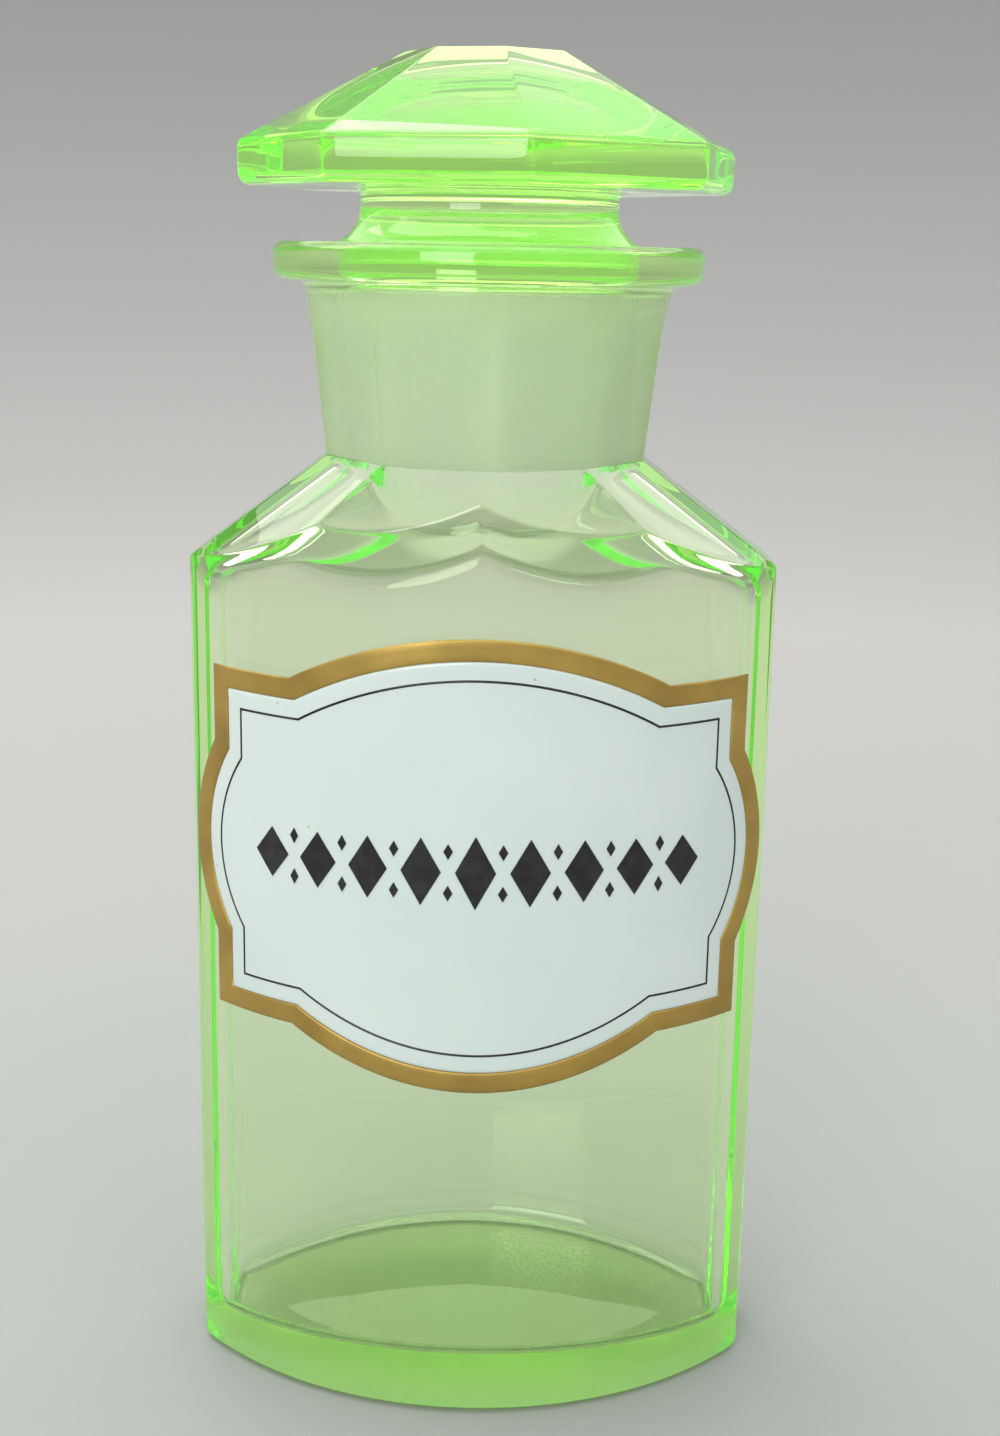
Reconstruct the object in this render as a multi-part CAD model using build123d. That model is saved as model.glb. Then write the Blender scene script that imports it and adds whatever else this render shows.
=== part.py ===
from build123d import *
from math import atan2, cos, degrees, radians, sin, sqrt, tan
import os

os.makedirs("parts", exist_ok=True)

# Body of the jar: bowed front and back, narrow flat sides, a heavy foot (mm)
body_width = 95.0
body_depth = 59.0
side_flat_width = 16.0
body_corner_radius = 2.5
foot_edge_chamfer = 1.4
wall_thickness = 4.8
cavity_corner_radius = 5.0
floor_thickness = 9.5
floor_crown_radius = 222.0
floor_edge_chamfer = 2.0

# Shoulder: ten cut panels from the neck down to the body
shoulder_corner_height = 141.0
shoulder_height = 16.8
front_panel_slope = 57.7
shoulder_edge_radius = 0.8
roof_front_rise = 4.5
roof_front_slope = 79.0

# Neck: ten cut facets with round tops, and a flat round lip
neck_height = 32.9
neck_base_diameter = 52.9
facet_lean = 6.0
facet_straight_height = 16.8
facet_runout_radius = 25.8
collar_base_diameter = 54.6
collar_top_diameter = 58.4
lip_diameter = 68.4
lip_thickness = 5.8
lip_edge_chamfer = 1.1
lip_root_chamfer = 1.2

# Ground joint between neck and stopper
bore_top_diameter = 48.4
bore_bottom_diameter = 44.8
bore_mouth_chamfer = 0.6
ground_clearance = 0.1

# Stopper: solid ground plug, narrow waist, and a disc cut to an octagon with a pitched top
plug_length = 30.0
plug_end_chamfer = 1.2
waist_diameter = 40.9
flare_radius = 6.1
waist_length = 2.6
disc_root_chamfer = 1.2
disc_edge_height = 6.7
disc_top_height = 28.6
disc_across_corners = 79.2
disc_sides = 8
disc_turn = 9.0
disc_edge_radius = 1.8
table_across_corners = 27.2
table_edge_chamfer = 0.4

# Fired enamel label, measured along the bowed front: border, field, line and ornament
label_centre_height = 95.5
border_thickness = 0.25
field_thickness = 0.20
print_thickness = 0.10
label_half_width = 47.3
label_half_height = 29.0
top_arch_half_width = 31.0
top_arch_rise = 8.2
side_arch_half_height = 16.5
side_arch_rise = 5.1
border_band_width = 3.5
line_margin = 2.8
line_width = 0.4
lozenge_count = 9
lozenge_pitch = 8.6
lozenge_width = 6.4
lozenge_height = 12.0
lozenge_height_step = 0.9
spacer_width = 1.5
spacer_height = 2.6
spacer_offset = 3.4

neck_base_height = shoulder_corner_height + shoulder_height
jar_height = neck_base_height + neck_height
roof_front_height = shoulder_corner_height + roof_front_rise
panel_kinds = ["front", "corner", "side", "corner", "front"] * 2
panel_angle = 360.0 / len(panel_kinds)
bow_sagitta = (body_depth - side_flat_width) / 2
bow_radius = (body_width**2 / 4 + bow_sagitta**2) / (2 * bow_sagitta)
neck_apothem = neck_base_diameter / 2 * cos(radians(panel_angle / 2))
slack = 0.05
roof_low = shoulder_corner_height - shoulder_height

corner_facing = radians(1.5 * panel_angle)
corner_reach = body_width / 2 * sin(corner_facing) + side_flat_width / 2 * cos(corner_facing)
panel_slopes = {
    "front": front_panel_slope,
    "corner": degrees(atan2(shoulder_height, corner_reach - neck_apothem)),
    "side": degrees(atan2(shoulder_height, body_width / 2 - neck_apothem)),
}


def between(low, high):
    """Test for edges whose centre lies between two heights."""
    return lambda edge: low < edge.center().Z < high


def lens_plan(inset, corner_radius, height):
    """Plan of the body: two bows and two narrow flats, set in by a wall."""
    half_width = body_width / 2 - inset
    radius = bow_radius - inset
    half_flat = sqrt(radius**2 - half_width**2) - (bow_radius - body_depth / 2)
    front = body_depth / 2 - inset
    with BuildSketch(Plane.XY.offset(height)) as plan:
        with BuildLine():
            ThreePointArc((-half_width, -half_flat), (0, -front), (half_width, -half_flat))
            Line((half_width, -half_flat), (half_width, half_flat))
            ThreePointArc((half_width, half_flat), (0, front), (-half_width, half_flat))
            Line((-half_width, half_flat), (-half_width, -half_flat))
        make_face()
        fillet(plan.vertices(), corner_radius)
    return plan.sketch


def flat_sided(low, high):
    """Solid with flat sides between two polygons whose sides are parallel."""
    faces = [make_face(Polyline(*corners, close=True)) for corners in (low, high)]
    for i in range(len(low)):
        j = (i + 1) % len(low)
        faces.append(make_face(Polyline(low[i], low[j], high[j], high[i], close=True)))
    return Solid(Shell([face.face() for face in faces]))


def panel_corners(distances, height):
    """Corners of the polygon with one side for each panel, at the given distances from the axis."""
    step = radians(panel_angle)
    corners = []
    for i, distance in enumerate(distances):
        facing = radians(-90 + panel_angle * (i + 0.5))
        reach = distances[(i + 1) % len(distances)]
        along = (reach - distance * cos(step)) / sin(step)
        x = distance * cos(facing) - along * sin(facing)
        y = distance * sin(facing) + along * cos(facing)
        corners.append((x, y, height))
    return corners


def panel_solid(top_distances, slopes, top, bottom):
    """Solid with one flat sloping face for each panel."""
    low_distances = [
        distance + (top - bottom) / tan(radians(slopes[kind]))
        for distance, kind in zip(top_distances, panel_kinds)
    ]
    return flat_sided(panel_corners(low_distances, bottom), panel_corners(top_distances, top))


def body_solid():
    """Bowed body, closed at the top by the ten shoulder panels."""
    lower = extrude(lens_plan(0, body_corner_radius, 0), amount=roof_low)
    upper = extrude(lens_plan(0, body_corner_radius, roof_low), amount=neck_base_height - roof_low)
    panels = panel_solid([neck_apothem] * len(panel_kinds), panel_slopes, neck_base_height, roof_low)
    body = lower + (upper & panels)
    ridges = body.edges().filter_by(between(shoulder_corner_height - slack, neck_base_height - slack))
    body = fillet(ridges, shoulder_edge_radius)
    return chamfer(body.faces().sort_by(Axis.Z)[0].edges(), foot_edge_chamfer)


def facet_cutter():
    """Wheel cut of one neck facet: flat, leaning out, then running out to the collar."""
    lean = radians(facet_lean)
    spring = (neck_apothem + facet_straight_height * tan(lean), neck_base_height + facet_straight_height)
    end_height = jar_height - lip_thickness - lip_root_chamfer
    end_sine = sin(lean) + (end_height - spring[1]) / facet_runout_radius
    end = (spring[0] + facet_runout_radius * (cos(lean) - sqrt(1 - end_sine**2)), end_height)
    with BuildSketch(Plane.XZ) as profile:
        with BuildLine():
            Line((neck_apothem, neck_base_height), spring)
            TangentArc(spring, end, tangent=(sin(lean), cos(lean)))
            Polyline(end, (lip_diameter, end_height), (lip_diameter, neck_base_height))
            Line((lip_diameter, neck_base_height), (neck_apothem, neck_base_height))
        make_face()
    return extrude(profile.sketch, amount=neck_base_diameter / 4, both=True)


def neck_solid():
    """Collar and lip turned in one profile, then cut with ten facets."""
    collar_top = jar_height - lip_thickness
    half_base, half_top, half_lip = collar_base_diameter / 2, collar_top_diameter / 2, lip_diameter / 2
    collar = [(half_base, neck_base_height), (half_top, collar_top)]
    lip = [(half_lip, collar_top), (half_lip, jar_height)]
    with BuildSketch(Plane.XZ) as profile:
        with BuildLine():
            Polyline((0, neck_base_height), *collar, *lip, (0, jar_height), close=True)
        make_face()
        chamfer(profile.vertices().filter_by(lambda corner: corner.X > half_lip - slack), lip_edge_chamfer)
        chamfer(profile.vertices().sort_by_distance((half_top, 0, collar_top))[0], lip_root_chamfer)
    neck = revolve(profile.sketch, Axis.Z)
    for i in range(len(panel_kinds)):
        neck -= Rot(Z=-90 + panel_angle * (i + 0.5)) * facet_cutter()
    return neck


def bore_solid():
    """Tapered ground bore with an eased mouth, open down into the cavity."""
    top, bottom = bore_top_diameter / 2, bore_bottom_diameter / 2
    mouth = jar_height - bore_mouth_chamfer
    with BuildSketch(Plane.XZ) as profile:
        with BuildLine():
            Polyline((0, roof_low), (bottom, roof_low), (bottom, neck_base_height), (top, mouth))
            Polyline((top, mouth), (top + bore_mouth_chamfer, jar_height), (0, jar_height), (0, roof_low))
        make_face()
    return revolve(profile.sketch, Axis.Z)


def cavity_solid():
    """Room inside the body: bowed like the outside, with a crowned floor."""
    top_length = neck_base_height - roof_low
    lower = extrude(lens_plan(wall_thickness, cavity_corner_radius, 0), amount=roof_low)
    upper = extrude(lens_plan(wall_thickness, cavity_corner_radius, roof_low), amount=top_length)
    distances = {}
    for kind, slope in panel_slopes.items():
        distances[kind] = neck_apothem - wall_thickness / sin(radians(slope))
    front_reach = (body_depth / 2 - wall_thickness) * cos(radians(panel_angle / 2))
    roof_rise = neck_base_height - roof_front_height
    distances["front"] = front_reach - roof_rise / tan(radians(roof_front_slope))
    slopes = dict(panel_slopes, front=roof_front_slope)
    roof = panel_solid([distances[kind] for kind in panel_kinds], slopes, neck_base_height, roof_low)
    room = lower + (upper & roof)
    crown = Rot(X=90) * Cylinder(floor_crown_radius, 2 * body_depth)
    room -= Pos(Z=floor_thickness - floor_crown_radius) * crown
    floor = room.faces().sort_by(Axis.Z)[0]
    return chamfer(floor.edges(), floor_edge_chamfer)


def jar_solid():
    """The jar in one piece of glass."""
    return body_solid() + neck_solid() - bore_solid() - cavity_solid()


def plug_radius(height):
    """Radius of the ground plug at a height: the bore's taper, less the ground clearance."""
    low, high = neck_base_height, jar_height - bore_mouth_chamfer
    share = (height - low) / (high - low)
    return (bore_bottom_diameter + share * (bore_top_diameter - bore_bottom_diameter)) / 2 - ground_clearance


def disc_corners(across_corners, height):
    """Corners of the disc's regular polygon, turned as the stopper sits in the jar."""
    corners = []
    for i in range(disc_sides):
        facing = radians(disc_turn - 90 + 360 / disc_sides * i)
        corners.append((across_corners / 2 * cos(facing), across_corners / 2 * sin(facing), height))
    return corners


def disc_solid(underside):
    """Flat disc with straight sides, a pitched cut top and a small flat table."""
    edge_top = underside + disc_edge_height
    top = jar_height + disc_top_height
    edge = disc_corners(disc_across_corners, edge_top)
    rim = flat_sided(disc_corners(disc_across_corners, underside), edge)
    disc = rim + flat_sided(edge, disc_corners(table_across_corners, top))
    disc = chamfer(disc.edges().filter_by(between(top - slack, top + slack)), table_edge_chamfer)
    low = disc.edges().filter_by(between(underside - slack, underside + slack))
    high = disc.edges().filter_by(between(edge_top - slack, edge_top + slack))
    return fillet(low + high, disc_edge_radius)


def stopper_solid():
    """The stopper in one piece of glass."""
    waist = waist_diameter / 2
    mouth = plug_radius(jar_height)
    plug_low = jar_height - plug_length
    flare_rise = sqrt(flare_radius**2 - (flare_radius + waist - mouth) ** 2)
    waist_low = jar_height + flare_rise
    underside = waist_low + waist_length
    inside, core_top = waist + 2 * disc_root_chamfer, underside + disc_edge_height / 2
    with BuildSketch(Plane.XZ) as profile:
        with BuildLine():
            Polyline(
                (0, plug_low),
                (plug_radius(plug_low) - plug_end_chamfer, plug_low),
                (plug_radius(plug_low + plug_end_chamfer), plug_low + plug_end_chamfer),
                (mouth, jar_height),
            )
            TangentArc((waist, waist_low), (mouth, jar_height), tangent=(0, -1))
            Polyline(
                (waist, waist_low),
                (waist, underside - disc_root_chamfer),
                (waist + disc_root_chamfer, underside),
                (inside, underside),
            )
            Polyline((inside, underside), (inside, core_top), (0, core_top), (0, plug_low))
        make_face()
    return revolve(profile.sketch, Axis.Z) + disc_solid(underside)


def on_bow(along):
    """Sideways place of a point measured along the bowed front."""
    return bow_radius * sin(along / bow_radius)


def label_outline(inset):
    """Label outline on the front, set in evenly: a rectangle with four arched sides."""
    half_width, half_height = label_half_width - inset, label_half_height - inset
    top_radius = (top_arch_half_width**2 + top_arch_rise**2) / (2 * top_arch_rise) - inset
    side_radius = (side_arch_half_height**2 + side_arch_rise**2) / (2 * side_arch_rise) - inset
    top_start = on_bow(sqrt(top_radius**2 - (top_radius - top_arch_rise) ** 2))
    side_start = sqrt(side_radius**2 - (side_radius - side_arch_rise) ** 2)
    x, z = on_bow(half_width), half_height
    apex, bulge = half_height + top_arch_rise, on_bow(half_width + side_arch_rise)
    with BuildSketch(Plane((0, 0, label_centre_height), x_dir=(1, 0, 0), z_dir=(0, -1, 0))) as outline:
        with BuildLine():
            Polyline((-x, side_start), (-x, z), (-top_start, z))
            ThreePointArc((-top_start, z), (0, apex), (top_start, z))
            Polyline((top_start, z), (x, z), (x, side_start))
            ThreePointArc((x, side_start), (bulge, 0), (x, -side_start))
            Polyline((x, -side_start), (x, -z), (top_start, -z))
            ThreePointArc((top_start, -z), (0, -apex), (-top_start, -z))
            Polyline((-top_start, -z), (-x, -z), (-x, -side_start))
            ThreePointArc((-x, -side_start), (-bulge, 0), (-x, side_start))
        make_face()
    return outline.sketch


def lozenge(along, up, width, height):
    """Upright lozenge at a place measured along the bowed front."""
    left, right = along - width / 2, along + width / 2
    corners = [(left, up), (along, up + height / 2), (right, up), (along, up - height / 2)]
    with BuildSketch(Plane((0, 0, label_centre_height), x_dir=(1, 0, 0), z_dir=(0, -1, 0))) as outline:
        with BuildLine():
            Polyline(*[(on_bow(s), z) for s, z in corners], close=True)
        make_face()
    return outline.sketch


def enamel(outline, low, thickness):
    """Thin layer of enamel on the bowed front, between two heights above the glass."""
    height = 2 * (label_half_height + top_arch_rise) + 1
    centre = Pos(0, bow_radius - body_depth / 2, label_centre_height)
    shell = Cylinder(bow_radius + low + thickness, height)
    if low + thickness > 0:
        shell -= Cylinder(bow_radius + low, height)
    return extrude(outline, amount=body_depth) & (centre * shell)


def ornament_lozenges():
    """Row of upright lozenges, tallest in the middle, with small ones between them."""
    middle = (lozenge_count - 1) / 2
    shapes = []
    for i in range(lozenge_count):
        along = (i - middle) * lozenge_pitch
        height = lozenge_height - lozenge_height_step * abs(i - middle)
        shapes.append(lozenge(along, 0, lozenge_width, height))
        if i < lozenge_count - 1:
            gap_middle = along + lozenge_pitch / 2
            shapes.append(lozenge(gap_middle, spacer_offset, spacer_width, spacer_height))
            shapes.append(lozenge(gap_middle, -spacer_offset, spacer_width, spacer_height))
    return shapes


line_inset = border_band_width + line_margin
nodes = {
    "jar": jar_solid(),
    "stopper": stopper_solid(),
    "label_border": enamel(label_outline(0) - label_outline(border_band_width), 0, border_thickness),
    "label_field": enamel(label_outline(border_band_width), 0, field_thickness),
    "label_line": enamel(
        label_outline(line_inset) - label_outline(line_inset + line_width), field_thickness, print_thickness
    ),
    "label_ornament": Compound(
        [enamel(shape, field_thickness, print_thickness).solid() for shape in ornament_lozenges()]
    ),
}
for name, shape in nodes.items():
    export_step(shape, f"parts/{name}.step")
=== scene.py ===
from math import asin, atan2, cos, pi, radians, sin, sqrt, tan

import bpy
import numpy as np
from mathutils import Matrix, Vector


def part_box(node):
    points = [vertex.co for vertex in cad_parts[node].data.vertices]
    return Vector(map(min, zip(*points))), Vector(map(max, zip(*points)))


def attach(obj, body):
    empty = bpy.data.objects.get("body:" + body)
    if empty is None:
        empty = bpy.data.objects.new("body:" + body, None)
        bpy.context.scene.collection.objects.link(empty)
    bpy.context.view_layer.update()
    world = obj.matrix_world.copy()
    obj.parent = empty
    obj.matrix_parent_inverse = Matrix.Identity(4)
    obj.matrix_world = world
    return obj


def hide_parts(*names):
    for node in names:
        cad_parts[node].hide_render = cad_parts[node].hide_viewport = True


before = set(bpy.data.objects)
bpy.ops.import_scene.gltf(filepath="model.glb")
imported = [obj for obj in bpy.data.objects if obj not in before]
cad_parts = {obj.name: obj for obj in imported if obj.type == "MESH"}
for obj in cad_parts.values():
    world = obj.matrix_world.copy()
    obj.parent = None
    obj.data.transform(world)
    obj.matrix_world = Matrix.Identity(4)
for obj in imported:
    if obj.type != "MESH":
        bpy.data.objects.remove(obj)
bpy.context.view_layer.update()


# The jar is one piece of green glass, pressed in a mould: a bowed body with narrow flat sides and a heavy
# foot. The wheel cut its ten shoulder panels and the ten neck facets, which run out under the lip as round
# arches. The neck is ground inside, so the stopper's plug shows through frosted glass, and so is the
# hollow under the foot.
MM = 0.001
jar_low, jar_high = [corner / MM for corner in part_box("jar")]
body_width = jar_high.x - jar_low.x
jar_height = jar_high.z
body_depth = 59.0
side_flat_width = 16.0
wall_thickness = 4.8
foot_edge_radius = 2.0
floor_thickness = 9.5
floor_dome_radius = 222.0
floor_edge_radius = 3.0
shoulder_corner_height = 141.0
front_panel_slope = 57.7
roof_front_height = 145.5
roof_front_slope = 60.0
neck_base_height = 157.8
neck_base_diameter = 52.9
facet_lean = 6.0
facet_straight_height = 16.8
facet_runout_radius = 25.8
collar_base_diameter = 54.6
collar_top_diameter = 58.4
lip_diameter = jar_high.y - jar_low.y
lip_thickness = 5.8
lip_root_radius = 2.0
lip_lower_edge_radius = 1.8
lip_top_edge_radius = 1.6
bore_top_diameter = 48.4
bore_bottom_diameter = 44.8
bore_mouth_radius = 0.6
ground_low_height = 157.0
ground_high_height = 185.0
base_hollow = 0.8
base_ground = 0.7
hollow_edge_share = 0.9
shoulder_zone_height = 2.0
wall_heights = [6, 30, 60, 90, 115, 128]
bore_heights = [189, 186, 182, 178, 174, 170, 166, 163, 161]

panel_kinds = ["front", "corner", "side", "corner", "front"] * 2
panel_step = 2 * pi / len(panel_kinds)
panel_facings = panel_step * (np.arange(len(panel_kinds)) + 0.5)
half_width, half_depth, half_flat = body_width / 2, body_depth / 2, side_flat_width / 2
bow_sagitta = half_depth - half_flat
bow_radius = (half_width**2 + bow_sagitta**2) / (2 * bow_sagitta)
bow_centre = bow_radius - half_depth
neck_apothem = neck_base_diameter / 2 * cos(panel_step / 2)
shoulder_drop = neck_base_height - shoulder_corner_height
roof_low_height = shoulder_corner_height - shoulder_drop
corner_facing = 1.5 * panel_step
corner_reach = half_width * sin(corner_facing) + half_flat * cos(corner_facing)
panel_slopes = {
    "front": radians(front_panel_slope),
    "corner": atan2(shoulder_drop, corner_reach - neck_apothem),
    "side": atan2(shoulder_drop, half_width - neck_apothem),
}

# How softly two surfaces meet, as the scale of a smooth minimum in millimetres.
body_corner_softness = 0.35
ridge_softness = 0.05
shoulder_edge_softness = 0.09
facet_edge_softness = 0.05
inner_corner_softness = 1.0
inner_edge_softness = 0.5
sharp = 1e-6
column_steps = [0, 0.012, 0.03, 0.06, 0.1, 0.15, 0.21, 0.28, 0.35, 0.43]


def smooth_min(reaches, softness):
    """The least of several distances, with the meeting rounded off."""
    reaches = np.array(reaches)
    least = reaches.min(axis=0)
    return least - softness * np.log(np.exp((least - reaches) / softness).sum(axis=0))


def smooth_max(reaches, softness):
    return -smooth_min([-reach for reach in reaches], softness)


def body_reach(turn, inset, softness):
    """Distance from the axis to the body's wall, set in by inset. The turn starts at the front."""
    radius = bow_radius - inset
    root = np.sqrt(radius**2 - (bow_centre * np.sin(turn)) ** 2)
    along = bow_centre * np.cos(turn)
    side = (half_width - inset) / np.maximum(np.abs(np.sin(turn)), 0.2)
    return smooth_min([root - along, root + along, side], softness)


def panel_distance(kind, height, top_distance, slopes):
    return top_distance + (neck_base_height - height) / tan(slopes[kind])


def panels_reach(turn, height, top_distances, slopes, softness):
    """Distance from the axis to the ten sloping panels."""
    reaches = []
    for kind, facing in zip(panel_kinds, panel_facings):
        distance = panel_distance(kind, height, top_distances[kind], slopes)
        reaches.append(distance / np.maximum(np.cos(turn - facing), 0.3))
    return smooth_min(reaches, softness)


neck_distances = {kind: neck_apothem for kind in panel_slopes}


def ridge_turns(height):
    """Where each of the ten ridges between shoulder panels stands, at each height."""
    rows = []
    for i in range(len(panel_kinds)):
        held = np.clip(height, ridge_low_heights[i], neck_base_height)
        before = panel_distance(panel_kinds[i - 1], held, neck_apothem, panel_slopes)
        after = panel_distance(panel_kinds[i], held, neck_apothem, panel_slopes)
        rows.append(panel_step * i + np.arctan((after - before) / (after + before) / tan(panel_step / 2)))
    rows.append(rows[0] + 2 * pi)
    return np.array(rows)


# Each ridge ends where it meets the bowed wall, so its lowest height is found there.
ridge_low_heights = [roof_low_height] * len(panel_kinds)
trial_heights = np.linspace(neck_base_height, roof_low_height, 2000)
trial_turns = ridge_turns(trial_heights)
for i in range(len(panel_kinds)):
    out = panels_reach(trial_turns[i], trial_heights, neck_distances, panel_slopes, sharp)
    past = out > body_reach(trial_turns[i], 0, sharp)
    ridge_low_heights[i] = float(trial_heights[np.argmax(past)])

one_side = column_steps + [0.5] + [1 - step for step in column_steps[:0:-1]]
column_ridge = np.repeat(np.arange(len(panel_kinds)), len(one_side))
column_share = np.tile(one_side, len(panel_kinds))
column_count = len(column_share)
everywhere = np.ones(column_count)


def column_turns(height):
    """Directions of the mesh's columns at a height: they follow the ridges, and crowd beside them."""
    ridges = ridge_turns(height * everywhere)
    columns = np.arange(column_count)
    start, end = ridges[column_ridge, columns], ridges[column_ridge + 1, columns]
    return start + column_share * (end - start)


def outer_reach(height):
    """The jar's outside from the foot to the collar, for one height or one height for each column."""
    turn = column_turns(height)
    height = height * everywhere
    body = body_reach(turn, 0, body_corner_softness)
    panels = panels_reach(turn, height, neck_distances, panel_slopes, ridge_softness)
    below = smooth_min([body, panels], shoulder_edge_softness)
    lean, rise = radians(facet_lean), height - neck_base_height
    sine = np.clip(sin(lean) + (rise - facet_straight_height) / facet_runout_radius, sin(lean), 0.9)
    runout = facet_runout_radius * (cos(lean) - np.sqrt(1 - sine**2))
    distance = neck_apothem + np.minimum(rise, facet_straight_height) * tan(lean) + runout
    off_facing = (turn + panel_step / 2) % panel_step - panel_step / 2
    facets = distance / np.cos(np.abs(off_facing) - panel_step / 2)
    collar_slope = (collar_top_diameter - collar_base_diameter) / 2 / (collar_top_height - neck_base_height)
    collar = collar_base_diameter / 2 + rise * collar_slope
    neck = smooth_min([facets, collar], facet_edge_softness)
    return turn, np.where(rise > shoulder_zone_height, neck, smooth_max([below, neck], facet_edge_softness))


def rounded(points, radii, steps):
    """Profile through the points, each inner corner rounded by an arc of its radius."""
    path = [points[0]]
    for i, radius in enumerate(radii, 1):
        before, corner, after = (np.array(p, float) for p in points[i - 1 : i + 2])
        back, ahead = before - corner, after - corner
        back, ahead = back / np.linalg.norm(back), ahead / np.linalg.norm(ahead)
        half_angle = np.arccos(np.clip(back @ ahead, -1, 1)) / 2
        middle = (back + ahead) / np.linalg.norm(back + ahead)
        centre = corner + middle * radius / sin(half_angle)
        first = corner + back * radius / tan(half_angle) - centre
        last = corner + ahead * radius / tan(half_angle) - centre
        sweep = pi - 2 * half_angle
        for share in np.linspace(0, 1, steps + 1):
            path.append(centre + (sin((1 - share) * sweep) * first + sin(share * sweep) * last) / sin(sweep))
    path.append(points[-1])
    return [tuple(float(value) for value in point) for point in path]


collar_top_height = jar_height - lip_thickness
edge_offsets = [-6, -3, -1.6, -0.8, -0.35, -0.12, 0.1, 0.3, 0.6, 1.1, 1.8]
neck_base_offsets = [-1.6, -0.8, -0.4, -0.18, -0.06, 0.06, 0.18, 0.4, 0.8, 1.6]

# The height at which each column passes from the wall to a shoulder panel.
low, high = roof_low_height * everywhere, neck_base_height * everywhere
halvings = 40
for _ in range(halvings):
    middle = (low + high) / 2
    turn = column_turns(middle)
    outside = panels_reach(turn, middle, neck_distances, panel_slopes, sharp) > body_reach(turn, 0, sharp)
    low, high = np.where(outside, middle, low), np.where(outside, high, middle)
shoulder_edge = (low + high) / 2

jar_rows = []
wall_turn = column_turns(0)
wall_reach = body_reach(wall_turn, 0, body_corner_softness)
for share in (0.25, 0.5, 0.7, 0.82, hollow_edge_share):
    hollow = base_hollow * (1 - (share / hollow_edge_share) ** 2)
    jar_rows.append((wall_turn, (wall_reach - foot_edge_radius) * share, hollow * everywhere, base_ground))
for angle in np.linspace(0, pi / 2, 8):
    reach = wall_reach - foot_edge_radius * (1 - sin(angle))
    jar_rows.append((wall_turn, reach, foot_edge_radius * (1 - cos(angle)) * everywhere, 0))
for height in wall_heights:
    jar_rows.append((*outer_reach(height), height * everywhere, 0))
for offset in edge_offsets:
    height = shoulder_edge + offset
    jar_rows.append((*outer_reach(height), height, 0))
panel_start, panel_end = shoulder_edge + edge_offsets[-1], neck_base_height + neck_base_offsets[0]
for share in np.linspace(0, 1, 12)[1:-1]:
    height = panel_start + share * (panel_end - panel_start)
    jar_rows.append((*outer_reach(height), height, 0))
for offset in neck_base_offsets:
    height = neck_base_height + offset
    jar_rows.append((*outer_reach(height), height * everywhere, 0))
for height in np.arange(neck_base_height + 3, collar_top_height - lip_root_radius - 0.2, 1.0):
    jar_rows.append((*outer_reach(height), height * everywhere, 0))

half_lip, half_bore = lip_diameter / 2, bore_top_diameter / 2
lip_path = rounded(
    [
        (collar_base_diameter / 2, neck_base_height),
        (collar_top_diameter / 2, collar_top_height),
        (half_lip, collar_top_height),
        (half_lip, jar_height),
        (half_bore, jar_height),
        (bore_bottom_diameter / 2, neck_base_height),
    ],
    [lip_root_radius, lip_lower_edge_radius, lip_top_edge_radius, bore_mouth_radius],
    7,
)
for reach, height in lip_path[1:-1]:
    jar_rows.append((column_turns(height), reach * everywhere, height * everywhere, 0))

inner_slopes = dict(panel_slopes, front=radians(roof_front_slope))
inner_distances = {
    kind: neck_apothem - wall_thickness / sin(slope) for kind, slope in panel_slopes.items()
}
front_wall_reach = (half_depth - wall_thickness) * cos(panel_step / 2)
roof_front_reach = (neck_base_height - roof_front_height) / tan(radians(roof_front_slope))
inner_distances["front"] = front_wall_reach - roof_front_reach


def room_reach(turn, height):
    """Distance from the axis to the inside of the wall and of the shoulder."""
    wall = body_reach(turn, wall_thickness, inner_corner_softness)
    roof = panels_reach(turn, height * everywhere, inner_distances, inner_slopes, inner_edge_softness)
    return smooth_min([wall, roof], inner_edge_softness)


bore_slope = (bore_top_diameter - bore_bottom_diameter) / 2 / (jar_height - neck_base_height)
for height in bore_heights:
    reach = bore_bottom_diameter / 2 + (height - neck_base_height) * bore_slope
    ground = float(height < ground_high_height)
    jar_rows.append((column_turns(height), reach * everywhere, height * everywhere, ground))
inner_heights = list(np.arange(159.2, 139, -0.7)) + [137.5, 134.5, 131, 127, 122, 110, 90, 70, 50, 30, 18]
for height in inner_heights:
    turn = column_turns(height)
    bore = bore_bottom_diameter / 2 + max(height - neck_base_height, -1) * bore_slope
    reach = smooth_max([bore * everywhere, room_reach(turn, height)], inner_edge_softness / 2)
    jar_rows.append((turn, reach, height * everywhere, float(height > ground_low_height)))
inner_wall = body_reach(wall_turn, wall_thickness, inner_corner_softness)


def floor_height(reach):
    return floor_thickness - reach**2 / (2 * floor_dome_radius)


for angle in np.linspace(0, pi / 2, 8):
    reach = inner_wall - floor_edge_radius * (1 - cos(angle))
    lift = floor_edge_radius * (1 - sin(angle))
    jar_rows.append((wall_turn, reach, floor_height(inner_wall - floor_edge_radius) + lift, 0))
for share in np.linspace(1, 0, 9)[1:-1]:
    reach = (inner_wall - floor_edge_radius) * share
    jar_rows.append((wall_turn, reach, floor_height(reach), 0))


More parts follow.
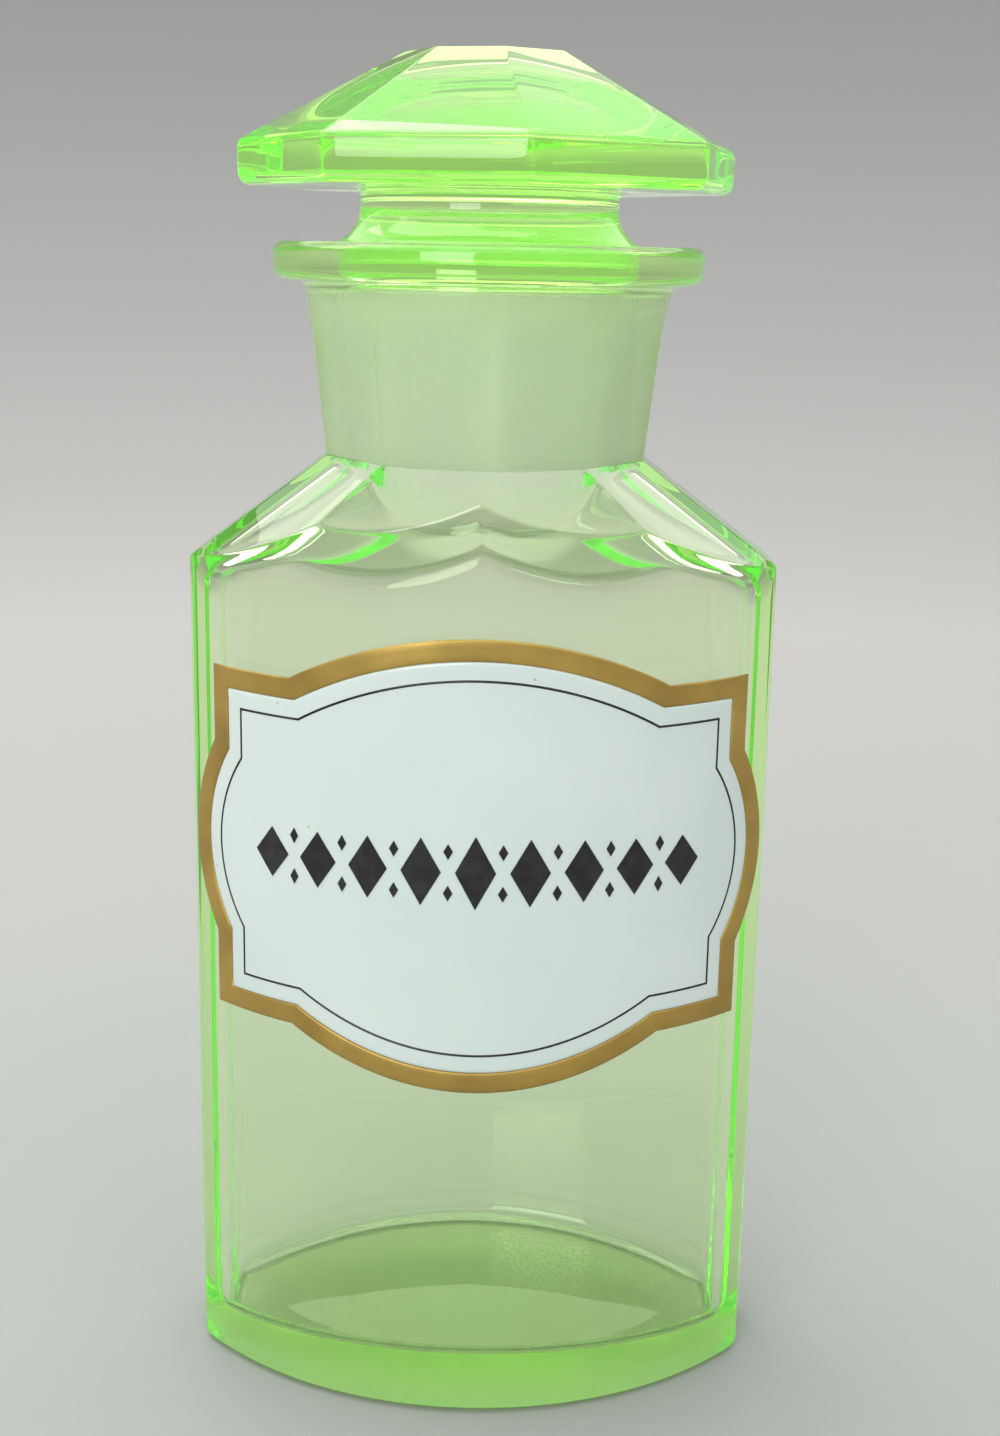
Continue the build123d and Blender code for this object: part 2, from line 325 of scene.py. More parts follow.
def turned_mesh(name, rows, bottom_height, top_height):
    """Closed mesh through rows of points about the axis, from the bottom pole to the top pole."""
    points, grounds = [(0, 0, bottom_height)], [float(rows[0][3])]
    for turn, reach, height, ground in rows:
        points += zip(reach * np.sin(turn), -reach * np.cos(turn), height)
        grounds += [float(ground)] * len(turn)
    points.append((0, 0, top_height))
    grounds.append(0.0)
    count, last = len(rows[0][0]), len(points) - 1
    faces = [(0, 1 + (j + 1) % count, 1 + j) for j in range(count)]
    for i in range(len(rows) - 1):
        here, above = 1 + i * count, 1 + (i + 1) * count
        for j in range(count):
            k = (j + 1) % count
            faces.append((here + j, here + k, above + k, above + j))
    top = 1 + (len(rows) - 1) * count
    faces += [(top + j, top + (j + 1) % count, last) for j in range(count)]
    mesh = bpy.data.meshes.new(name)
    mesh.from_pydata([(x * MM, y * MM, z * MM) for x, y, z in points], [], faces)
    mesh.attributes.new("ground", "FLOAT", "POINT").data.foreach_set("value", grounds)
    mesh.polygons.foreach_set("use_smooth", [True] * len(mesh.polygons))
    mesh.update()
    piece = bpy.data.objects.new(name, mesh)
    bpy.context.scene.collection.objects.link(piece)
    return piece


def linear(code):
    """An sRGB hex colour as the linear RGBA that a shader takes."""
    values = [int(code[i : i + 2], 16) / 255 for i in (1, 3, 5)]
    values = [v / 12.92 if v <= 0.04045 else ((v + 0.055) / 1.055) ** 2.4 for v in values]
    return (*values, 1.0)


def add_node(tree, kind, inputs=None, **settings):
    """One node with its settings. Each input is a value, or another node's output to link from."""
    node = tree.nodes.new(kind)
    for name, value in settings.items():
        setattr(node, name, value)
    for key, value in (inputs or {}).items():
        if isinstance(value, bpy.types.NodeSocket):
            tree.links.new(value, node.inputs[key])
        else:
            node.inputs[key].default_value = value
    return node


def new_material(name):
    material = bpy.data.materials.new(name)
    material.use_nodes = True
    material.node_tree.nodes.clear()
    return material, material.node_tree


jar_stain = 39.0
stain_colour = (0.6, 0.985, 0.08, 1.0)
# The glow in the glass is partly the uranium's own and partly painted light, which lifts the thick foot,
# floor and disc that the lamps leave dark.
glow_and_painted_light_colour = (0.8, 1.0, 0.6, 1.0)
glow_and_painted_light_strength = 2.4
ground_roughness = 0.5
ground_clearness = 0.12


def green_glass(name, stain_strength):
    """Uranium green soda glass: clear surfaces, colour in the depth, and a frosted wheel-ground joint.
    The thin body looks nearly colourless. Long ways through the edges turn leaf green. The depth glows a
    little:
    partly the uranium salt giving back some of the daylight, partly painted light that brightens the thick
    glass."""
    material, tree = new_material(name)
    ground = add_node(tree, "ShaderNodeAttribute", attribute_name="ground").outputs["Fac"]
    place = add_node(tree, "ShaderNodeTexCoord").outputs["Object"]
    grit = add_node(tree, "ShaderNodeTexNoise", {"Vector": place, "Scale": 1500.0, "Detail": 2.0})
    ripple = add_node(tree, "ShaderNodeTexNoise", {"Vector": place, "Scale": 45.0, "Detail": 1.0})
    roughness = add_node(tree, "ShaderNodeMapRange", {"Value": ground, "To Max": ground_roughness})
    clearness = add_node(tree, "ShaderNodeMapRange", {
        "Value": ground, "To Min": 1.0, "To Max": ground_clearness,
    })
    wave = add_node(tree, "ShaderNodeBump", {
        "Height": ripple.outputs["Fac"], "Strength": 0.06, "Distance": 0.001,
    })
    frost = add_node(tree, "ShaderNodeBump", {
        "Height": grit.outputs["Fac"], "Strength": ground, "Distance": 0.0001,
        "Normal": wave.outputs["Normal"],
    })
    surface = add_node(tree, "ShaderNodeBsdfPrincipled", {
        "Base Color": linear("#ffffff"), "IOR": 1.52, "Roughness": roughness.outputs["Result"],
        "Transmission Weight": clearness.outputs["Result"], "Normal": frost.outputs["Normal"],
    })
    stain = add_node(tree, "ShaderNodeVolumeAbsorption", {
        "Color": stain_colour, "Density": stain_strength,
    })
    # Glow in the depth: partly the glass's own, partly painted light.
    glow_and_painted_light = add_node(tree, "ShaderNodeEmission", {"Color": glow_and_painted_light_colour, "Strength": glow_and_painted_light_strength})
    depth = add_node(tree, "ShaderNodeAddShader", {0: stain.outputs["Volume"], 1: glow_and_painted_light.outputs["Emission"]})
    output = add_node(tree, "ShaderNodeOutputMaterial")
    tree.links.new(surface.outputs["BSDF"], output.inputs["Surface"])
    tree.links.new(depth.outputs["Shader"], output.inputs["Volume"])
    return material


jar = turned_mesh("jar_glass", jar_rows, base_hollow, floor_thickness)
jar.data.materials.append(green_glass("pressed_green_glass", jar_stain))
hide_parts("jar")
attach(jar, "jar")


# The stopper is one solid piece of the same glass: a tapered plug ground to fit the bore, a narrow waist
# to hold it by, and a flat disc whose rim was cut to eight sides and whose top was cut to a low pitched
# roof with a small table.
stopper_low, stopper_high = [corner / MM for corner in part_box("stopper")]
stopper_stain = 26.0
ground_clearance = 0.1
plug_end_radius = 1.5
waist_diameter = 40.9
flare_radius = 6.1
waist_length = 2.6
disc_root_radius = 1.5
disc_edge_height = 6.7
disc_across_corners = 79.2
disc_sides = 8
disc_turn = radians(9)
disc_edge_radius = 1.8
table_across_corners = 27.2
table_edge_radius = 0.3
rim_corner_softness = 0.3
cut_ridge_softness = 0.05

half_waist = waist_diameter / 2
plug_top = half_bore - ground_clearance
flare_rise = sqrt(flare_radius**2 - (flare_radius + half_waist - plug_top) ** 2)
waist_low = jar_height + flare_rise
underside = waist_low + waist_length
edge_top = underside + disc_edge_height
side_step = 2 * pi / disc_sides
disc_apothem = disc_across_corners / 2 * cos(side_step / 2)
table_apothem = table_across_corners / 2 * cos(side_step / 2)
stopper_turn = (np.repeat(np.arange(disc_sides), len(one_side)) + np.tile(one_side, disc_sides)) * side_step
stopper_turn = stopper_turn + disc_turn
all_round = np.ones(len(stopper_turn))


def octagon_reach(distance, softness):
    """Distance from the axis to the eight sides of the disc."""
    facings = disc_turn + side_step * (np.arange(disc_sides) + 0.5)
    return smooth_min([distance / np.maximum(np.cos(stopper_turn - f), 0.3) for f in facings], softness)


stopper_rows = []
plug_low = stopper_low.z
plug_low_radius = bore_bottom_diameter / 2 + (plug_low - neck_base_height) * bore_slope - ground_clearance
plug_path = rounded(
    [(0, plug_low), (plug_low_radius, plug_low), (plug_top, jar_height)], [plug_end_radius], 6
)
for share in (0.4, 0.8, 0.96):
    stopper_rows.append((stopper_turn, plug_low_radius * share * 0.9 * all_round, plug_low * all_round, 0))
for reach, height in plug_path[1:-1]:
    stopper_rows.append((stopper_turn, reach * all_round, height * all_round, 1))
for share in np.linspace(0, 1, 9)[1:]:
    height = plug_path[-2][1] + share * (jar_height - plug_path[-2][1])
    reach = plug_path[-2][0] + share * (plug_top - plug_path[-2][0])
    ground = float(height < ground_high_height)
    stopper_rows.append((stopper_turn, reach * all_round, height * all_round, ground))
for height in np.linspace(jar_height, waist_low, 13)[1:]:
    reach = half_waist + flare_radius - sqrt(flare_radius**2 - (waist_low - height) ** 2)
    stopper_rows.append((stopper_turn, reach * all_round, height * all_round, 0))
waist_path = rounded(
    [(half_waist, waist_low), (half_waist, underside), (disc_apothem, underside)], [disc_root_radius], 6
)
for reach, height in waist_path[1:-1]:
    stopper_rows.append((stopper_turn, reach * all_round, height * all_round, 0))
disc_path = rounded(
    [
        (half_waist, underside),
        (disc_apothem, underside),
        (disc_apothem, edge_top),
        (table_apothem, stopper_high.z),
        (0, stopper_high.z),
    ],
    [disc_edge_radius, disc_edge_radius, table_edge_radius],
    7,
)
rim_start = disc_path[1][0]
for share in (0.25, 0.5, 0.75, 0.92):
    start = half_waist + disc_root_radius
    reach = (1 - share) * start + share * octagon_reach(rim_start, rim_corner_softness)
    stopper_rows.append((stopper_turn, reach, underside * all_round, 0))
for i, (distance, height) in enumerate(disc_path[1:-1]):
    if distance < table_apothem + 2:
        break
    edge_zone = [edge_top - disc_edge_radius, edge_top + 1]
    softness = np.interp(height, edge_zone, [rim_corner_softness, cut_ridge_softness])
    stopper_rows.append((stopper_turn, octagon_reach(distance, softness), height * all_round, 0))
low_point, high_point = disc_path[1:-1][i - 1], disc_path[1:-1][i]
for share in np.linspace(0, 1, 9)[1:-1]:
    distance = low_point[0] + share * (high_point[0] - low_point[0])
    height = low_point[1] + share * (high_point[1] - low_point[1])
    stopper_rows.append((stopper_turn, octagon_reach(distance, cut_ridge_softness), height * all_round, 0))
for distance, height in disc_path[1:-1][i:]:
    stopper_rows.append((stopper_turn, octagon_reach(distance, cut_ridge_softness), height * all_round, 0))
for share in (0.9, 0.6, 0.3):
    reach = octagon_reach(disc_path[-2][0], cut_ridge_softness) * share
    stopper_rows.append((stopper_turn, reach, stopper_high.z * all_round, 0))

stopper = turned_mesh("stopper_glass", stopper_rows, plug_low, stopper_high.z)
stopper.data.materials.append(green_glass("cut_green_glass", stopper_stain))
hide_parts("stopper")
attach(stopper, "stopper")


# The label's border is bronze powder in a clear flux, printed as a band with four arched sides and fired
# on the bowed front. It is the lowest print, and stands up from the glass by a quarter of a millimetre.
label_centre_height = 95.5
border_thickness = 0.25
field_thickness = 0.20
print_thickness = 0.10
bedded_depth = 0.03
label_half_width = 47.3
label_half_height = 29.0
top_arch_half_width = 31.0
top_arch_rise = 8.2
side_arch_half_height = 16.5
side_arch_rise = 5.1
border_band_width = 3.5
line_margin = 2.8
line_width = 0.4


def on_bow(along):
    """Sideways place of a point measured along the bowed front."""
    return bow_radius * sin(along / bow_radius)


def arch(half_chord, rise, steps):
    """Points of a shallow arch over a chord, as places along the chord and heights over it."""
    radius = (half_chord**2 + rise**2) / (2 * rise)
    half_angle = asin(half_chord / radius)
    angles = np.linspace(-half_angle, half_angle, steps + 1)
    return [(radius * sin(a), rise - radius * (1 - cos(a))) for a in angles]


def straight(start, end, steps):
    return [tuple(np.array(start) + (np.array(end) - start) * i / steps) for i in range(steps)]


def label_outline(inset):
    """Label outline on the front, set in evenly, as places across and up from the label's centre."""
    half_wide, half_high = label_half_width - inset, label_half_height - inset
    top_radius = (top_arch_half_width**2 + top_arch_rise**2) / (2 * top_arch_rise) - inset
    side_radius = (side_arch_half_height**2 + side_arch_rise**2) / (2 * side_arch_rise) - inset
    top_start = on_bow(sqrt(top_radius**2 - (top_radius - top_arch_rise) ** 2))
    side_start = sqrt(side_radius**2 - (side_radius - side_arch_rise) ** 2)
    wide, bulge = on_bow(half_wide), on_bow(half_wide + side_arch_rise) - on_bow(half_wide)
    half = straight((-wide, side_start), (-wide, half_high), 6)
    half += straight((-wide, half_high), (-top_start, half_high), 6)
    half += [(x, half_high + rise) for x, rise in arch(top_start, top_arch_rise, 48)]
    half += straight((top_start, half_high), (wide, half_high), 6)[1:]
    half += straight((wide, half_high), (wide, side_start), 6)
    half += [(wide + rise, -up) for up, rise in arch(side_start, bulge, 30)]
    return half[:-1] + [(-x, -z) for x, z in half[:-1]]


def on_front(x, z, lift):
    """Point on the bowed front in metres, raised from the glass by lift."""
    angle = asin(x / bow_radius)
    radius = bow_radius + lift
    return (radius * sin(angle) * MM, (bow_centre - radius * cos(angle)) * MM, (label_centre_height + z) * MM)


def print_mesh(name, rings, lifts, closed_middle, back_lift):
    """Closed layer of print: rings of points with a lift each, and the bedded back of the same rings."""
    count, points, faces = len(rings[0]), [], []
    for ring, lift in list(zip(rings, lifts)) + [(ring, back_lift) for ring in reversed(rings)]:
        points += [on_front(x, z, lift) for x, z in ring]
    total = 2 * len(rings)
    for i in range(total if not closed_middle else total - 1):
        here, there = i * count, (i + 1) % total * count
        for j in range(count):
            k = (j + 1) % count
            faces.append((here + j, there + j, there + k, here + k))
    mesh = bpy.data.meshes.new(name)
    if closed_middle:
        front, back = len(points), len(points) + 1
        points += [on_front(0, 0, lifts[0]), on_front(0, 0, back_lift)]
        last = (total - 1) * count
        faces += [(front, j, (j + 1) % count) for j in range(count)]
        faces += [(back, last + (j + 1) % count, last + j) for j in range(count)]
    mesh.from_pydata(points, [], faces)
    mesh.polygons.foreach_set("use_smooth", [True] * len(mesh.polygons))
    mesh.update()
    piece = bpy.data.objects.new(name, mesh)
    bpy.context.scene.collection.objects.link(piece)
    return piece


def band_rings(inset, width, shares):
    """Rings across a band of the label, from its inner edge out."""
    inner, outer = np.array(label_outline(inset + width)), np.array(label_outline(inset))
    return [inner + share * (outer - inner) for share in shares]


def bronze_enamel(name):
    """Bronze powder fired in flux: brown gold, half dull, with fine grains of brighter metal."""
    material, tree = new_material(name)
    place = add_node(tree, "ShaderNodeTexCoord").outputs["Object"]
    grain = add_node(tree, "ShaderNodeTexNoise", {"Vector": place, "Scale": 2600.0, "Detail": 3.0})
    cloud = add_node(tree, "ShaderNodeTexNoise", {"Vector": place, "Scale": 90.0, "Detail": 4.0})
    tint = add_node(tree, "ShaderNodeValToRGB", {"Fac": cloud.outputs["Fac"]})
    tint.color_ramp.elements[0].position, tint.color_ramp.elements[0].color = 0.3, linear("#97824a")
    tint.color_ramp.elements[1].position, tint.color_ramp.elements[1].color = 0.7, linear("#b39c5c")
    spark = add_node(tree, "ShaderNodeMix", {
        "Factor": grain.outputs["Fac"], "A": tint.outputs["Color"], "B": linear("#c8b06c"),
    }, data_type="RGBA", blend_type="SOFT_LIGHT")
    bump = add_node(tree, "ShaderNodeBump", {
        "Height": grain.outputs["Fac"], "Strength": 0.25, "Distance": 0.0001,
    })
    surface = add_node(tree, "ShaderNodeBsdfPrincipled", {
        "Base Color": spark.outputs[2], "Metallic": 0.55, "Roughness": 0.42, "Normal": bump.outputs["Normal"],
    })
    output = add_node(tree, "ShaderNodeOutputMaterial")
    tree.links.new(surface.outputs["BSDF"], output.inputs["Surface"])
    return material


band_shares = [0, 0.04, 0.12, 0.35, 0.65, 0.88, 0.96, 1]
band_profile = [0.0, 0.7, 1.0, 1.0, 1.0, 1.0, 0.7, 0.0]
border = print_mesh(
    "label_border_enamel",
    band_rings(0, border_band_width, band_shares),
    [border_thickness * share for share in band_profile],
    False,
    -bedded_depth,
)
border.data.materials.append(bronze_enamel("fired_bronze_enamel"))
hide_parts("label_border")
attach(border, "jar")


# The label's field is opaque white enamel with a faint green cast from the glass under it, printed inside
# the border and fired glossy. A few specks of dirt were fired into it.
def white_enamel(name):
    """White fired enamel: glossy, faintly green, gently uneven, with a few dark specks."""
    material, tree = new_material(name)
    place = add_node(tree, "ShaderNodeTexCoord").outputs["Object"]
    cloud = add_node(tree, "ShaderNodeTexNoise", {"Vector": place, "Scale": 30.0, "Detail": 2.0})
    tint = add_node(tree, "ShaderNodeValToRGB", {"Fac": cloud.outputs["Fac"]})
    tint.color_ramp.elements[0].position, tint.color_ramp.elements[0].color = 0.35, linear("#c8d7d1")
    tint.color_ramp.elements[1].position, tint.color_ramp.elements[1].color = 0.65, linear("#cfdbd6")
    dots = add_node(tree, "ShaderNodeTexVoronoi", {"Vector": place, "Scale": 110.0, "Randomness": 1.0})
    speck = add_node(tree, "ShaderNodeMapRange", {
        "Value": dots.outputs["Distance"], "From Min": 0.02, "From Max": 0.035, "To Min": 0.6, "To Max": 0.0,
    })
    colour = add_node(tree, "ShaderNodeMix", {
        "Factor": speck.outputs["Result"], "A": tint.outputs["Color"], "B": linear("#8d8577"),
    }, data_type="RGBA")
    bump = add_node(tree, "ShaderNodeBump", {
        "Height": cloud.outputs["Fac"], "Strength": 0.1, "Distance": 0.0005,
    })
    surface = add_node(tree, "ShaderNodeBsdfPrincipled", {
        "Base Color": colour.outputs[2], "Roughness": 0.16, "Normal": bump.outputs["Normal"],
    })
    output = add_node(tree, "ShaderNodeOutputMaterial")
    tree.links.new(surface.outputs["BSDF"], output.inputs["Surface"])
    return material


field_edge = np.array(label_outline(border_band_width))
field_shares = list(np.linspace(0.04, 0.96, 24)) + [0.985, 0.995, 1]
field = print_mesh(
    "label_field_enamel",
    [field_edge * share for share in field_shares],
    [field_thickness] * (len(field_shares) - 2) + [field_thickness * 0.8, 0.0],
    True,
    -bedded_depth,
)
field.data.materials.append(white_enamel("fired_white_enamel"))
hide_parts("label_field")
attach(field, "jar")


# The hairline is black enamel, printed on the field with one stroke of the screen at an even distance
# inside the border, and fired with it.
def black_enamel(name):
    """Black fired enamel: glossy, a little thin in places, so the field greys it."""
    material, tree = new_material(name)
    place = add_node(tree, "ShaderNodeTexCoord").outputs["Object"]
    cloud = add_node(tree, "ShaderNodeTexNoise", {"Vector": place, "Scale": 400.0, "Detail": 3.0})
    tint = add_node(tree, "ShaderNodeValToRGB", {"Fac": cloud.outputs["Fac"]})
    tint.color_ramp.elements[0].position, tint.color_ramp.elements[0].color = 0.4, linear("#0b0a0c")
    tint.color_ramp.elements[1].position, tint.color_ramp.elements[1].color = 0.75, linear("#26262b")
    surface = add_node(tree, "ShaderNodeBsdfPrincipled", {
        "Base Color": tint.outputs["Color"], "Roughness": 0.25,
    })
    output = add_node(tree, "ShaderNodeOutputMaterial")
    tree.links.new(surface.outputs["BSDF"], output.inputs["Surface"])
    return material


black = black_enamel("fired_black_enamel")
line_profile = [0.0, 0.7, 1.0, 0.7, 0.0]
line = print_mesh(
    "label_line_enamel",
    band_rings(border_band_width + line_margin, line_width, np.linspace(0, 1, len(line_profile))),
    [field_thickness + print_thickness * share for share in line_profile],
    False,
    field_thickness - bedded_depth,
)
line.data.materials.append(black)
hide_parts("label_line")
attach(line, "jar")


# The ornament is a row of upright black lozenges, tallest in the middle, with pairs of small ones between
# them, printed and fired with the hairline.
lozenge_count = 9
lozenge_pitch = 8.6
lozenge_width = 6.4
lozenge_height = 12.0
lozenge_height_step = 0.9
spacer_width = 1.5
spacer_height = 2.6
spacer_offset = 3.4


def ornament_tree():
    """Rows of lozenges laid out flat, then wrapped on the bow: across is x, up is z, lift is -y."""
    tree = bpy.data.node_groups.new("lozenge_row", "GeometryNodeTree")
    tree.interface.new_socket("Geometry", in_out="OUTPUT", socket_type="NodeSocketGeometry")
    for name, kind in (
        ("Count", "Int"), ("Pitch", "Float"), ("Width", "Float"), ("Height", "Float"),
        ("Height step", "Float"), ("Rise", "Float"), ("Low", "Float"), ("Thickness", "Float"),
        ("Bow radius", "Float"), ("Bow centre", "Float"), ("Label height", "Float"), ("Material", "Material"),
    ):
        tree.interface.new_socket(name, in_out="INPUT", socket_type="NodeSocket" + kind)
    given = add_node(tree, "NodeGroupInput").outputs

    def calculate(operation, *values):
        """One math node, with its values or links in order."""
        return add_node(tree, "ShaderNodeMath", dict(enumerate(values)), operation=operation).outputs[0]

    half_row = calculate("DIVIDE", calculate("SUBTRACT", given["Count"], 1.0), 2.0)
    start = add_node(tree, "ShaderNodeCombineXYZ", {
        "X": calculate("MULTIPLY", calculate("MULTIPLY", half_row, given["Pitch"]), -1.0), "Z": given["Rise"],
    })
    offset = add_node(tree, "ShaderNodeCombineXYZ", {"X": given["Pitch"]})
    row = add_node(tree, "GeometryNodeMeshLine", {
        "Count": given["Count"], "Start Location": start.outputs[0], "Offset": offset.outputs[0],
    })
    prism = add_node(tree, "GeometryNodeMeshCylinder", {
        "Vertices": 4, "Radius": 0.5, "Depth": 1.0,
    })
    upright = add_node(tree, "GeometryNodeTransform", {
        "Geometry": prism.outputs["Mesh"], "Rotation": (pi / 2, 0, 0),
    })
    index = add_node(tree, "GeometryNodeInputIndex").outputs[0]
    from_middle = calculate("ABSOLUTE", calculate("SUBTRACT", index, half_row))
    height = calculate("SUBTRACT", given["Height"], calculate("MULTIPLY", from_middle, given["Height step"]))
    size = add_node(tree, "ShaderNodeCombineXYZ", {"X": given["Width"], "Y": given["Thickness"], "Z": height})
    placed = add_node(tree, "GeometryNodeInstanceOnPoints", {
        "Points": row.outputs["Mesh"], "Instance": upright.outputs["Geometry"], "Scale": size.outputs[0],
    })
    real = add_node(tree, "GeometryNodeRealizeInstances", {"Geometry": placed.outputs["Instances"]})
    fine = add_node(tree, "GeometryNodeSubdivideMesh", {"Mesh": real.outputs["Geometry"], "Level": 3})
    position = add_node(tree, "GeometryNodeInputPosition").outputs[0]
    flat = add_node(tree, "ShaderNodeSeparateXYZ", {0: position})
    angle = calculate("DIVIDE", flat.outputs["X"], given["Bow radius"])
    middle_lift = calculate("ADD", given["Low"], calculate("DIVIDE", given["Thickness"], 2.0))
    lift = calculate("SUBTRACT", middle_lift, flat.outputs["Y"])
    radius = calculate("ADD", given["Bow radius"], lift)
    wrapped = add_node(tree, "ShaderNodeCombineXYZ", {
        "X": calculate("MULTIPLY", radius, calculate("SINE", angle)),
        "Y": calculate(
            "SUBTRACT", given["Bow centre"], calculate("MULTIPLY", radius, calculate("COSINE", angle))
        ),
        "Z": calculate("ADD", flat.outputs["Z"], given["Label height"]),
    })
    bent = add_node(tree, "GeometryNodeSetPosition", {
        "Geometry": fine.outputs["Mesh"], "Position": wrapped.outputs[0],
    })
    painted = add_node(tree, "GeometryNodeSetMaterial", {
        "Geometry": bent.outputs["Geometry"], "Material": given["Material"],
    })
    output = add_node(tree, "NodeGroupOutput")
    tree.links.new(painted.outputs["Geometry"], output.inputs[0])
    return tree


def lozenge_row(tree, values):
    """Mesh of one row, made by the tree and taken off its modifier."""
    holder = bpy.data.objects.new("lozenge_row", bpy.data.meshes.new("lozenge_row"))
    bpy.context.scene.collection.objects.link(holder)
    modifier = holder.modifiers.new("lozenge_row", "NODES")
    modifier.node_group = tree
    for item in tree.interface.items_tree:
        if item.in_out == "INPUT":
            modifier[item.identifier] = values[item.name]
    result = bpy.data.meshes.new_from_object(holder.evaluated_get(bpy.context.evaluated_depsgraph_get()))
    holder.modifiers.remove(modifier)
    bpy.data.objects.remove(holder)
    return result


row_tree = ornament_tree()
row_values = {
    "Count": lozenge_count, "Pitch": lozenge_pitch * MM, "Width": lozenge_width * MM,
    "Height": lozenge_height * MM, "Height step": lozenge_height_step * MM, "Rise": 0.0,
    "Low": (field_thickness - bedded_depth) * MM, "Thickness": (print_thickness + bedded_depth) * MM,
    "Bow radius": bow_radius * MM, "Bow centre": bow_centre * MM, "Label height": label_centre_height * MM,
    "Material": black,
}
spacer_values = dict(
    row_values, Count=lozenge_count - 1, Width=spacer_width * MM, Height=spacer_height * MM,
    Rise=spacer_offset * MM,
)
spacer_values["Height step"] = 0.0
rows = [
    lozenge_row(row_tree, row_values),
    lozenge_row(row_tree, spacer_values),
    lozenge_row(row_tree, dict(spacer_values, Rise=-spacer_offset * MM)),
]
points, faces = [], []
for mesh in rows:
    faces += [[len(points) + corner for corner in face.vertices] for face in mesh.polygons]
    points += [vertex.co.copy() for vertex in mesh.vertices]
ornament_mesh = bpy.data.meshes.new("label_ornament_enamel")
ornament_mesh.from_pydata(points, [], faces)
ornament_mesh.materials.append(black)
ornament = bpy.data.objects.new("label_ornament_enamel", ornament_mesh)
bpy.context.scene.collection.objects.link(ornament)
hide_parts("label_ornament")
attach(ornament, "jar")


# The studio: a round sweep of pale matt paper, which is floor and backdrop at once on every side, under an
# even white sky, a large soft lamp from above and a weak one low in front.
floor_radius = 0.6
sweep_radius = 0.9
wall_height = 0.95
sweep_steps = 24
floor_gap = 0.0002
sweep_path = [(0.02, -floor_gap), (0.2, -floor_gap), (0.5, -floor_gap), (floor_radius, -floor_gap)]
for i in range(1, sweep_steps + 1):
    angle = pi / 2 * i / sweep_steps
    rise = sweep_radius * (1 - cos(angle)) - floor_gap
    sweep_path.append((floor_radius + sweep_radius * sin(angle), rise))
sweep_path.append((floor_radius + sweep_radius, wall_height))
sweep_count = 96
points = [(0, 0, -floor_gap)]
for reach, height in sweep_path:
    for j in range(sweep_count):
        turn = 2 * pi * j / sweep_count
        points.append((reach * sin(turn), -reach * cos(turn), height))
faces = [(0, 1 + j, 1 + (j + 1) % sweep_count) for j in range(sweep_count)]
for i in range(len(sweep_path) - 1):
    here, there = 1 + i * sweep_count, 1 + (i + 1) * sweep_count
    for j in range(sweep_count):
        k = (j + 1) % sweep_count
        faces.append((here + j, there + j, there + k, here + k))
sweep_mesh = bpy.data.meshes.new("paper_sweep")
sweep_mesh.from_pydata(points, [], faces)
sweep_mesh.polygons.foreach_set("use_smooth", [True] * len(faces))
sweep = bpy.data.objects.new("paper_sweep", sweep_mesh)
bpy.context.scene.collection.objects.link(sweep)
paper, tree = new_material("pale_paper")
# The paper's colour is graded by distance from the jar as painted shade: a little darker near the jar,
# lightest where the floor turns up, and darker up the wall towards its top.
painted_shade_distance = 2.0
place = add_node(tree, "ShaderNodeTexCoord").outputs["Object"]
away = add_node(tree, "ShaderNodeVectorMath", {0: place}, operation="LENGTH")
painted_shade_share = add_node(tree, "ShaderNodeMapRange", {"Value": away.outputs["Value"], "From Max": painted_shade_distance})
tint = add_node(tree, "ShaderNodeValToRGB", {"Fac": painted_shade_share.outputs["Result"]})
tint.color_ramp.elements[0].position, tint.color_ramp.elements[0].color = 0.05, linear("#979a96")
tint.color_ramp.elements[1].position, tint.color_ramp.elements[1].color = 0.72, linear("#7e7e7d")
tint.color_ramp.elements.new(0.33).color = linear("#a7a6a4")
surface = add_node(tree, "ShaderNodeBsdfPrincipled", {"Base Color": tint.outputs["Color"], "Roughness": 0.9})
output = add_node(tree, "ShaderNodeOutputMaterial")
tree.links.new(surface.outputs["BSDF"], output.inputs["Surface"])
sweep_mesh.materials.append(paper)

world = bpy.data.worlds.new("soft_room")
world.use_nodes = True
sky = world.node_tree.nodes["Background"].inputs
sky["Color"].default_value = linear("#ffffff")
sky["Strength"].default_value = 1.72
bpy.context.scene.world = world


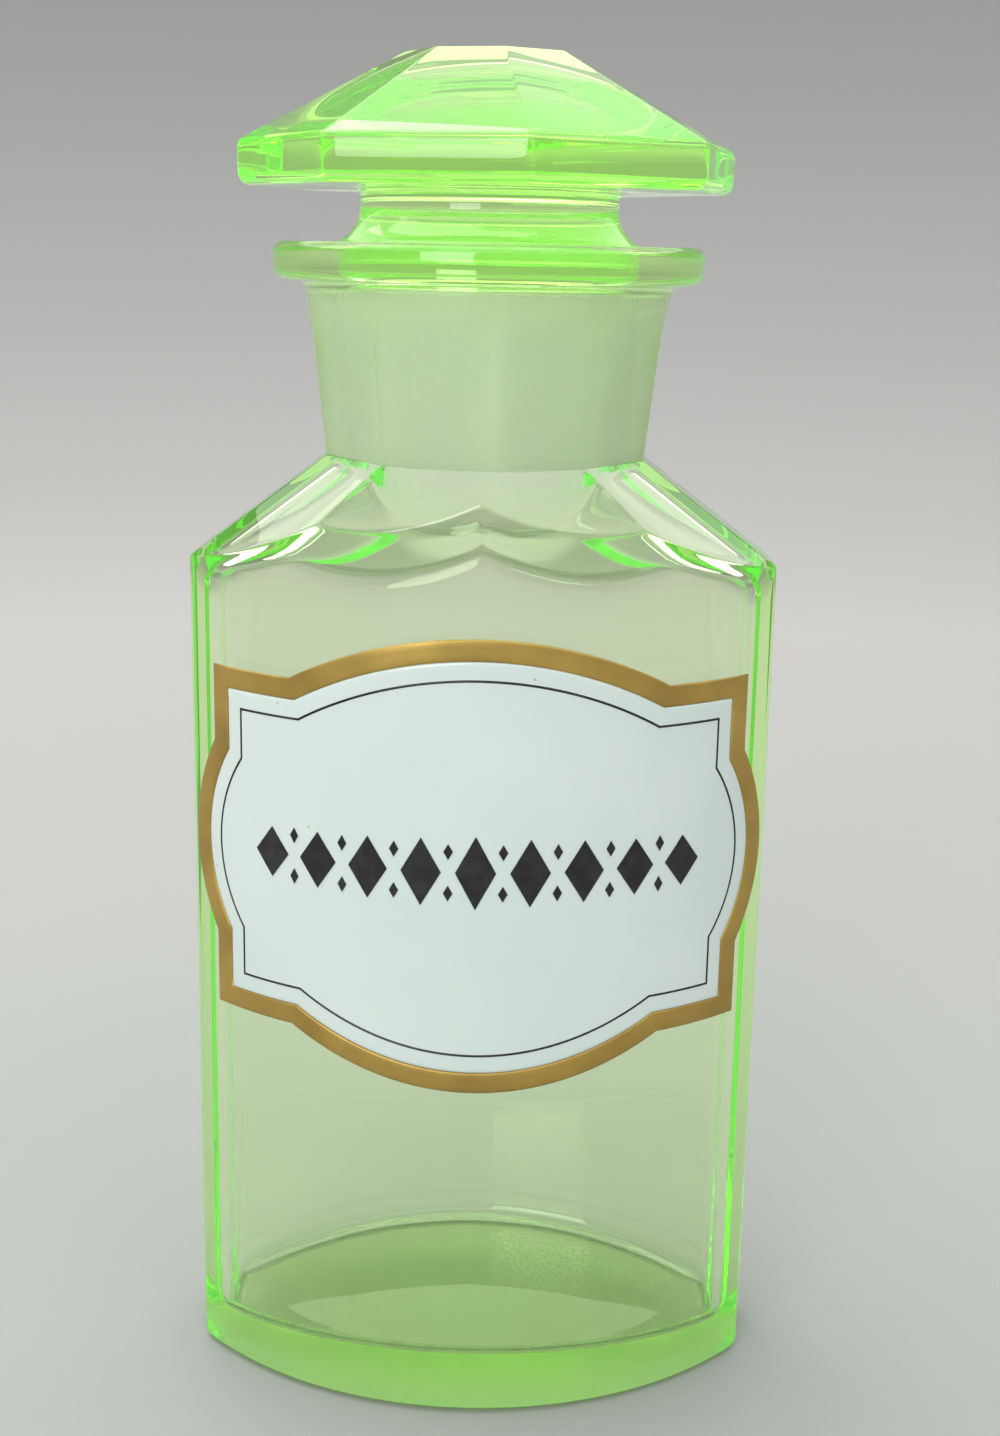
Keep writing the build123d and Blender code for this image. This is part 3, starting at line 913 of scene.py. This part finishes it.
def soft_light(name, place, aim, size, spread, watts):
    """A square soft lamp that looks at a point. Its spread keeps it off the paper beside it."""
    data = bpy.data.lights.new(name, "AREA")
    data.shape, data.size, data.spread, data.energy = "SQUARE", size, radians(spread), watts
    lamp = bpy.data.objects.new(name, data)
    direction = Vector(aim) - Vector(place)
    lamp.matrix_world = Matrix.Translation(place) @ direction.to_track_quat("-Z", "Y").to_matrix().to_4x4()
    lamp.visible_camera = False
    bpy.context.scene.collection.objects.link(lamp)


soft_light("top_light", (-0.3, 0.2, 1.3), (0, 0, 0.1), size=0.9, spread=180.0, watts=9.0)
soft_light("front_light", (-0.35, -0.95, 0.45), (0, 0, 0.15), size=0.5, spread=80.0, watts=0.95)

# The camera stands where the photograph was taken from.
camera_distance = 0.311
camera_height = 0.1907
camera_side = radians(1.0)
camera_pitch = radians(14.0)
camera_heading = radians(0.42)
camera_roll = radians(1.08)
focal_pixels = 1899.0
image_long_side = 1436.0
camera_data = bpy.data.cameras.new("camera")
camera_data.sensor_width = 36.0
camera_data.lens = 36.0 * focal_pixels / image_long_side
camera = bpy.data.objects.new("camera", camera_data)
forward = Vector((
    -sin(camera_heading) * cos(camera_pitch), cos(camera_heading) * cos(camera_pitch), -sin(camera_pitch),
))
level = Vector((cos(camera_heading), sin(camera_heading), 0))
upward = level.cross(forward)
across = level * cos(camera_roll) + upward * sin(camera_roll)
upward = upward * cos(camera_roll) - level * sin(camera_roll)
facing = Matrix((across, upward, -forward)).transposed().to_4x4()
stand = (camera_distance * sin(camera_side), -camera_distance * cos(camera_side), camera_height)
camera.matrix_world = Matrix.Translation(stand) @ facing
bpy.context.scene.collection.objects.link(camera)
bpy.context.scene.camera = camera
bpy.context.scene.view_settings.view_transform = "Standard"

# Light crosses many glass faces between the frosted joint, the disc and the foot.
glass_bounces = 40
bpy.context.scene.cycles.max_bounces = glass_bounces
bpy.context.scene.cycles.transmission_bounces = glass_bounces
bpy.context.scene.cycles.diffuse_bounces = 8
bpy.context.scene.cycles.glossy_bounces = 16
